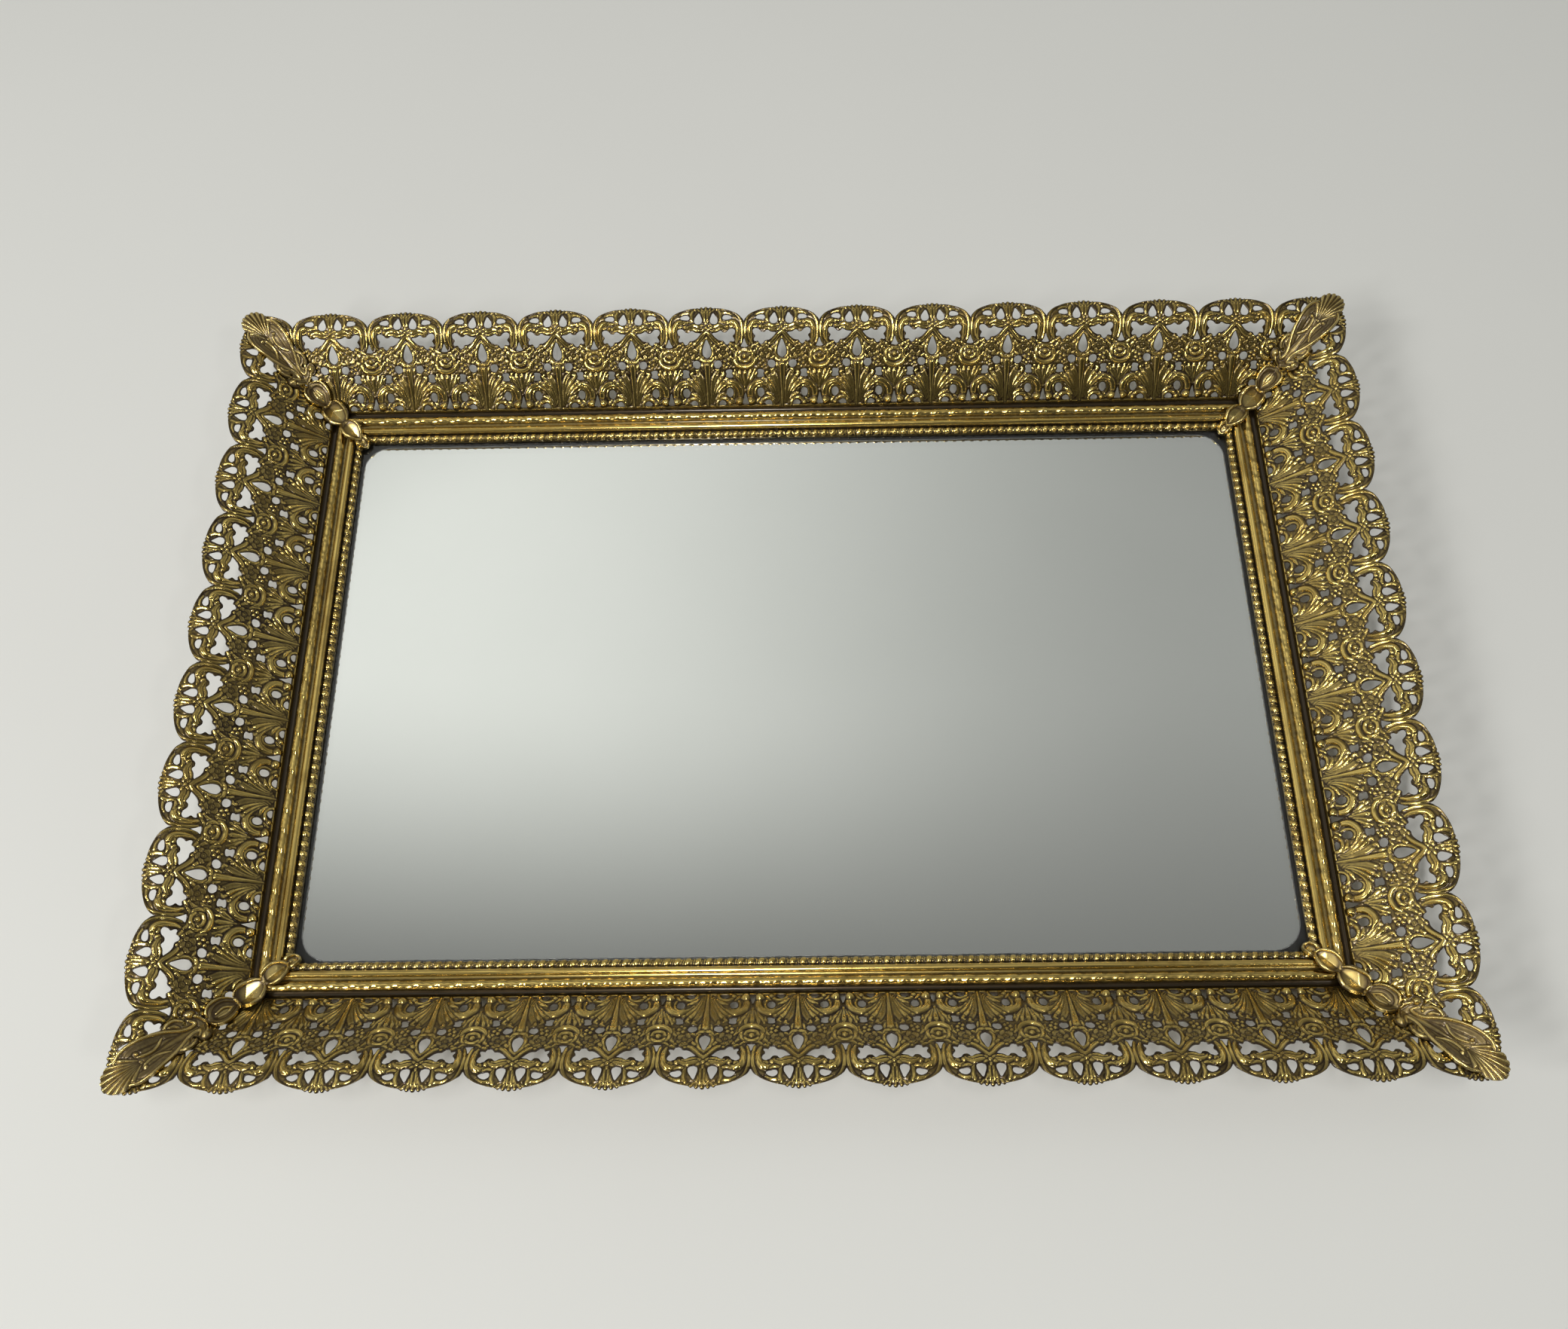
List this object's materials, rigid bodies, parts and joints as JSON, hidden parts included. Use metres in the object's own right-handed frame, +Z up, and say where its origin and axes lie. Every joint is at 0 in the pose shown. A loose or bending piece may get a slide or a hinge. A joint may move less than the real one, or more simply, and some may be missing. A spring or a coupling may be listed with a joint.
{
  "type": "dresser vanity tray",
  "caption": "Rectangular mirrored tray in a moulded brass frame, with a flared, pierced scalloped gallery and a leaf ornament over each mitred corner.",
  "frame": {"origin": "centre of the felt underside, where the tray rests on the table", "axes": "+Z up out of the mirror, +X along the long side to the right, +Y towards the back"},
  "size_m": [0.4378, 0.2968, 0.0366],
  "materials": {
    "moulded_brass": "polished moulding with brown patina in the grooves",
    "stamped_brass": "gold wash, bright on the high spots and brown in the recesses",
    "cover_brass": "gold wash worn to a brown patina",
    "key_brass": "plain",
    "mirror": "polished, back silvered",
    "card": "grey card",
    "board": "plain hardboard",
    "felt": "napped dark felt"
  },
  "bodies": {
    "root": {"mirror_glass": "mirror", "card_spacer": "card", "backing_board": "board", "felt_base": "felt", "front_rail": "moulded_brass", "front_gallery": "stamped_brass", "back_rail": "moulded_brass", "back_gallery": "stamped_brass", "left_rail": "moulded_brass", "left_gallery": "stamped_brass", "right_rail": "moulded_brass", "right_gallery": "stamped_brass", "corner_cover_back_right": "cover_brass", "corner_key_back_right": "key_brass", "corner_cover_back_left": "cover_brass", "corner_key_back_left": "key_brass", "corner_cover_front_left": "cover_brass", "corner_key_front_left": "key_brass", "corner_cover_front_right": "cover_brass", "corner_key_front_right": "key_brass"}
  },
  "joints": []
}
